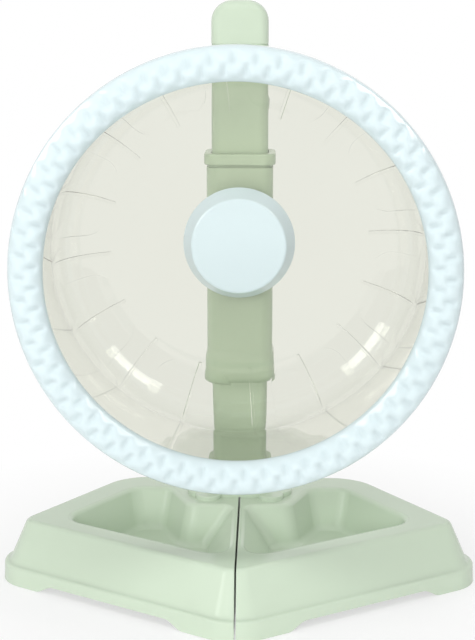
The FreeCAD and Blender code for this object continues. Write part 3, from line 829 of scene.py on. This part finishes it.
bowlSize = {
    "corners": [(0, -86.499), (133.366, -6.365), (73.426, 82.5), (-73.426, 82.5), (-133.366, -6.365)],
    "radii": [24.0, 20.2, 36.0, 36.0, 20.2], "height": 32.0, "seam": 0.4, "wall": 2.4,
    "footRise": 4.2, "footCurve": 11.0, "footSteps": 8, "noseFoot": 30.0, "cornerFoot": 33.0, "backFoot": 30.0,
    "backScallop": 42.0, "pegHole": 4.1, "bossMiddle": 27.6, "bossLength": 20.0, "seamRound": 0.5, "seamLow": 8.0,
    # inset and height up the outside to the rim, and up the inside to the ceiling
    "outside": [(0, 0), (0.42, 8.4), (0.6, 9.2), (1.0, 9.75), (1.6, 10.0), (2.6, 10.12), (3.3, 10.5), (3.85, 11.3),
                (4.45, 12.4), (12.22, 30.19), (12.75, 31.0), (13.4, 31.55), (14.15, 31.88)],
    "rimInset": 14.97, "inside": [(0, -1), (0.5, 7.6), (2.46, 7.62)], "ceilingInset": 11.96,
}
traySize = {
    "corners": [(3.6, -54.0), (93.1, -0.3), (59.5, 49.5), (39.0, 49.5), (27.0, 22.0), (3.6, 22.0)],
    "radii": [11.0, 11.0, 9.0, 6.0, 9.0, 6.0], "inwardCorner": 4, "floor": 10.0, "run": 6.0, "seamRun": 14.0,
    "lip": 3.0, "floorRound": 4.0, "roundSteps": 6,
}


def moveSides(corners, distances):  # each side of an outline moved inwards by its own distance
    count = len(corners)
    lines = []
    for number, corner in enumerate(corners):
        here = Vector(corner)
        along = (Vector(corners[(number + 1) % count]) - here).normalized()
        lines.append((here + Vector((-along.y, along.x)) * distances[number], along))
    moved = []
    for number, (spot, along) in enumerate(lines):
        before, beforeAlong = lines[number - 1]
        cross = beforeAlong.x * along.y - beforeAlong.y * along.x
        gap = spot - before
        moved.append(tuple(before + beforeAlong * ((gap.x * along.y - gap.y * along.x) / cross)))
    return moved


def trayCutter(wall=0.0):  # the tray's hollow, or with a wall the block that keeps its wall and floor
    size = traySize
    top, lip, steps = bowlSize["height"], size["lip"], size["roundSteps"]
    slope = size["run"] / (top - size["floor"])
    lean = math.atan(slope)
    grow = wall or lip * math.cos(lean) - slope * (lip - lip * math.sin(lean))  # where the lip leaves the flat rim
    corners = moveSides(size["corners"], [-grow] * 6)
    radii = [radius if wall else radius + grow for radius in size["radii"]]
    if not wall:
        radii[size["inwardCorner"]] -= 2 * grow  # this corner turns the other way
    piece = planFace("tray", corners, radii, top + 1, up=False)
    levels = [(0, top + 1), (0, top - 0.02)]
    if not wall:
        turns = [(math.pi / 2 - lean) * step / steps for step in range(1, steps + 1)]
        levels += [(lip * math.sin(turn), top - lip + lip * math.cos(turn)) for turn in turns]
    insetLevels(levels)
    wallTop, floor, bend = levels[-1][1], size["floor"] - wall, size["floorRound"]
    wallLow = floor if wall else floor + bend - bend * math.sin(lean)
    pull((0, 0, (wallLow - wallTop) * mm))
    drop = wallTop - wallLow
    seamRun = size["seamRun"] / (top - size["floor"]) * (top - wallLow) - slope * (top - wallTop)
    lipCorners = moveSides(corners, [levels[-1][0]] * 6)
    lowCorners = moveSides(lipCorners, [slope * drop] * 5 + [seamRun])

    def atFoot(place):
        return abs(place.z - wallLow) < 0.01

    owners = {}
    for vert in bmesh.from_edit_mesh(piece.data).verts:
        if atFoot(vert.co / mm):
            place = Vector(vert.co.xy) / mm
            gaps = [(place - Vector(corner)).length for corner in lipCorners]
            owners.setdefault(gaps.index(min(gaps)), []).append(place)
    for number, places in owners.items():  # each rounded corner goes in with its own two walls
        pick("VERT", lambda vert, place: atFoot(place) and min((place.xy - spot).length for spot in places) < 0.001)
        shift = (Vector(lowCorners[number]) - Vector(lipCorners[number])) * mm
        bpy.ops.transform.translate(value=(*shift, 0))
    if not wall:
        pick("FACE", lambda face, place: atFoot(place) and abs(face.normal.z) > 0.9)
        turns = [lean + (math.pi / 2 - lean) * step / steps for step in range(steps + 1)]
        leanCos = math.cos(lean)
        insetLevels([(bend * (leanCos - math.cos(turn)), floor + bend - bend * math.sin(turn)) for turn in turns])
    cleanMesh()
    objectMode()
    return piece


def scallopCutter(start, end, corner, along):  # an S at each end of a low cut through the skirt
    size = bowlSize
    rise, curve, steps = size["footRise"], size["footCurve"], size["footSteps"]
    flat = [(start - 2.0, -1.0), (end + 2.0, -1.0)]
    climb = [(step / steps, rise * (1 - math.cos(math.pi * step / steps)) / 2 - 0.02) for step in range(steps + 1)]
    outline = [flat[0]] + [(start + curve * share, height) for share, height in climb]
    outline += [(end - curve * share, height) for share, height in climb[::-1]] + [flat[1]]
    across = Vector((-along[1], along[0]))
    origin = Vector(corner) - across * 3.0
    spots = [(*(origin + Vector(along) * distance), height) for distance, height in outline]
    return prism("scallop", spots, (*(across * 8.0), 0))


def steppedHalf(name, corners, radii, levels, seam, segments=8):  # a stepped block, cut off at the seam
    piece = planFace(name, corners, radii, levels[0][1], segments=segments)
    insetLevels(levels)
    pickOpenEdges()
    bpy.ops.mesh.edge_face_add()
    cleanMesh()
    bpy.ops.mesh.bisect(plane_co=(seam * mm, 0, 0), plane_no=(1, 0, 0), use_fill=True, clear_inner=True,
                        threshold=0.001 * mm)
    cleanMesh()
    objectMode()
    return piece


def bowl():
    size = bowlSize
    top, wall, seam, corners = size["height"], size["wall"], size["seam"], size["corners"]
    levels = size["outside"] + [(size["rimInset"], top)]
    piece = steppedHalf("bowlRight", corners, size["radii"], levels, seam, 10)
    combine(piece, trayCutter(), "DIFFERENCE")
    levels = size["inside"] + [(size["ceilingInset"], top - wall)]
    radii = [radius - wall for radius in size["radii"]]
    hollow = steppedHalf("underside", moveSides(corners, [wall] * 5), radii, levels, seam + wall)
    combine(hollow, trayCutter(wall), "DIFFERENCE", "MANIFOLD")
    pegSpot = (plateSize["earSpread"], plateSize["earY"])
    boss = disc("pegBoss", size["pegHole"] + wall, (*pegSpot, size["bossMiddle"]), size["bossLength"], sides=48)
    combine(hollow, boss, "DIFFERENCE", "MANIFOLD")
    combine(piece, hollow, "DIFFERENCE", "MANIFOLD")
    nose, side, back = [Vector(corner) for corner in corners[:3]]
    front, flank = side - nose, back - side
    cuts = [
        (size["noseFoot"], front.length - size["cornerFoot"], nose, front.normalized()),
        (size["cornerFoot"], flank.length - size["backFoot"], side, flank.normalized()),
        (-size["backScallop"], size["backScallop"], Vector((0, back.y)), Vector((-1, 0))),
    ]
    for start, end, corner, along in cuts:
        combine(piece, scallopCutter(start, end, corner, along), "DIFFERENCE")
    combine(piece, disc("pegHole", size["pegHole"], (*pegSpot, top / 2), 2 * top, sides=48), "DIFFERENCE")

    def seamEdge(edge, place):  # sharp edges round the face at the seam
        atSeam = max(abs(vert.co.x / mm - seam) for vert in edge.verts) < 0.01 and place.z > size["seamLow"]
        return atSeam and len(edge.link_faces) == 2 and edge.calc_face_angle(0) > 0.6

    editMode(piece)
    pick("EDGE", seamEdge)
    bpy.ops.mesh.bevel(offset=size["seamRound"] * mm, segments=2, affect="EDGES")
    objectMode()
    smoothPiece(piece)
    return piece


def mirrorBowl(piece):
    other = copyPiece(piece, "bowlLeft")
    editMode(other)
    bpy.ops.mesh.select_all(action="SELECT")
    bpy.ops.transform.resize(value=(-1, 1, 1), center_override=(0, 0, 0))
    bpy.ops.mesh.flip_normals()
    objectMode()
    smoothPiece(other)
    return other


rightBowl = bowl()
leftBowl = mirrorBowl(rightBowl)
finishPiece(rightBowl, "right_bowl", "green_plastic", sagePlastic, "bowl_right")
finishPiece(leftBowl, "left_bowl", "green_plastic", sagePlastic, "bowl_left")


# Floor, lamps and camera

studio = {
    "floorColour": (0.95, 0.95, 0.95), "floorFade": (0.11, 0.24), "floorLift": 0.6, "floorSize": 8.0,
    "background": 1.0, "worldLight": (0.78, 0.26), "frontShade": 0.4,
    "shownIn": {"wheel": ("rimRing", "clearDrum", "hubCap"), "bowls": ("bowlRight", "bowlLeft")},
    "lamps": [  # name, place, size, power, lights every surface or shows in the gloss of some pieces
        ("glossLeft", (-0.85, -0.03, 0.68), (0.8, 0.42), 6.5, "wheel"),
        ("glossRight", (0.78, -0.03, 0.94), (0.8, 0.50), 7.5, "wheel"),
        ("noseGloss", (-0.66, -0.62, 0.4), (0.3, 0.5), 1.1, "bowls"),
        ("keyLamp", (-0.05, -0.62, 1.25), (0.45, 0.3), 4.4, "surface"),
        ("fillLamp", (-0.35, -1.2, 0.42), (0.6, 0.4), 5.5, "surface"),
        ("backLamp", (0.35, 1.15, 0.8), (0.8, 0.6), 4.0, "surface"),
    ],
    "aim": (0.0, 0.0, 0.13), "camera": (0.0149, -0.7178, 0.2985), "pitch": 77.55, "yaw": 1.22, "lens": 80.5,
    "sensor": 36.0,
}


def makeFloor():  # pale floor that keeps the shadow and goes over to white away from the wheel
    deselectAll()
    bpy.ops.mesh.primitive_grid_add(x_subdivisions=24, y_subdivisions=24, size=studio["floorSize"],
                                    location=(0, 1.0, -0.0002))
    floor = namePiece("studioFloor")
    bpy.ops.object.transform_apply(location=True)
    colour, (near, far) = studio["floorColour"], studio["floorFade"]
    material, tree, shader = newMaterial("studioFloor")
    place = newNode(tree, "TexCoord")
    speckle = newNode(tree, "TexNoise", {"Scale": 30.0})
    tint = newNode(tree, "MixRGB", {"Color1": dim(colour), "Color2": dim(colour, 0.985)})
    shader.inputs["Roughness"].default_value = 0.8
    shader.inputs["Specular IOR Level"].default_value = 0.1
    distance = newNode(tree, "VectorMath", operation="LENGTH")
    fade = newNode(tree, "MapRange", {"From Min": near, "From Max": far, "To Min": studio["floorLift"]})
    rays = newNode(tree, "LightPath")
    seen = newNode(tree, "Math", operation="MAXIMUM")
    seenToo = newNode(tree, "Math", operation="MAXIMUM")
    share = newNode(tree, "Math", operation="MULTIPLY")
    white = newNode(tree, "Emission", {"Strength": studio["background"]})
    mix = newNode(tree, "MixShader")
    joinNodes(
        tree,
        (place.outputs["Object"], speckle.inputs["Vector"]),
        (place.outputs["Object"], distance.inputs[0]),
        (speckle.outputs["Fac"], tint.inputs["Fac"]),
        (tint.outputs["Color"], shader.inputs["Base Color"]),
        (distance.outputs["Value"], fade.inputs["Value"]),
        (rays.outputs["Is Camera Ray"], seen.inputs[0]),
        (rays.outputs["Is Transmission Ray"], seen.inputs[1]),
        (seen.outputs["Value"], seenToo.inputs[0]),
        (rays.outputs["Is Glossy Ray"], seenToo.inputs[1]),
        (seenToo.outputs["Value"], share.inputs[0]),
        (fade.outputs["Result"], share.inputs[1]),
        (share.outputs["Value"], mix.inputs["Fac"]),
        (shader.outputs["BSDF"], mix.inputs[1]),
        (white.outputs["Emission"], mix.inputs[2]),
        (mix.outputs["Shader"], tree.nodes["Material Output"].inputs["Surface"]),
    )
    floor.data.materials.append(material)


# White behind the wheel, light from the front, and a darker room behind the camera for the gloss to show
def makeWorld():
    world = bpy.data.worlds.new("studioWorld")
    bpy.context.scene.world = world
    world.use_nodes = True
    tree = world.node_tree
    light = tree.nodes["Background"]
    room = newNode(tree, "Background")
    seen = newNode(tree, "Background", {"Strength": studio["background"]})
    for background in (light, room, seen):
        background.inputs["Color"].default_value = (1, 1, 1, 1)
    frontLight, backLight = studio["worldLight"]
    facing = newNode(tree, "TexCoord")
    parts = newNode(tree, "SeparateXYZ")
    front = newNode(tree, "MapRange", {"From Min": -1.0, "To Min": frontLight, "To Max": backLight})
    shade = newNode(tree, "MapRange", {"From Min": -0.3, "From Max": 0.25, "To Min": studio["frontShade"]})
    shade.interpolation_type = "SMOOTHSTEP"
    rays = newNode(tree, "LightPath")
    shiny = newNode(tree, "Math", operation="MAXIMUM")
    roomMix = newNode(tree, "MixShader")
    seenMix = newNode(tree, "MixShader")
    joinNodes(
        tree,
        (facing.outputs["Generated"], parts.inputs["Vector"]),
        (parts.outputs["Y"], shade.inputs["Value"]),
        (parts.outputs["Y"], front.inputs["Value"]),
        (front.outputs["Result"], light.inputs["Strength"]),
        (shade.outputs["Result"], room.inputs["Strength"]),
        (rays.outputs["Is Glossy Ray"], shiny.inputs[0]),
        (rays.outputs["Is Transmission Ray"], shiny.inputs[1]),
        (shiny.outputs["Value"], roomMix.inputs["Fac"]),
        (light.outputs["Background"], roomMix.inputs[1]),
        (room.outputs["Background"], roomMix.inputs[2]),
        (rays.outputs["Is Camera Ray"], seenMix.inputs["Fac"]),
        (roomMix.outputs["Shader"], seenMix.inputs[1]),
        (seen.outputs["Background"], seenMix.inputs[2]),
        (seenMix.outputs["Shader"], tree.nodes["World Output"].inputs["Surface"]),
    )


def makeLamps():
    shownIn = {}
    for use, pieces in studio["shownIn"].items():  # a gloss lamp is linked to the pieces that show it
        shownIn[use] = bpy.data.collections.new(use + "Gloss")
        for piece in pieces:
            shownIn[use].objects.link(bpy.data.objects[piece])
    for name, spot, size, power, use in studio["lamps"]:
        deselectAll()
        facing = (Vector(studio["aim"]) - Vector(spot)).to_track_quat("-Z", "Y").to_euler()
        bpy.ops.object.light_add(type="AREA", location=spot, rotation=facing)
        lamp = bpy.context.object
        lamp.name = name
        lamp.data.shape = "RECTANGLE"
        lamp.data.size, lamp.data.size_y = size
        lamp.data.energy = power
        lamp.visible_diffuse = use == "surface"
        lamp.visible_glossy = lamp.visible_transmission = use != "surface"
        if use != "surface":
            lamp.light_linking.receiver_collection = shownIn[use]


def makeCamera():
    deselectAll()
    turn = (math.radians(studio["pitch"]), 0, math.radians(studio["yaw"]))
    bpy.ops.object.camera_add(location=studio["camera"], rotation=turn)
    camera = bpy.context.object
    camera.name = "photoCamera"
    camera.data.lens = studio["lens"]
    camera.data.sensor_width = studio["sensor"]
    camera.data.clip_start = 0.01
    bpy.context.scene.camera = camera


makeFloor()
makeWorld()
makeLamps()
makeCamera()
bpy.context.scene.view_settings.view_transform = "Standard"
print("studio ready")
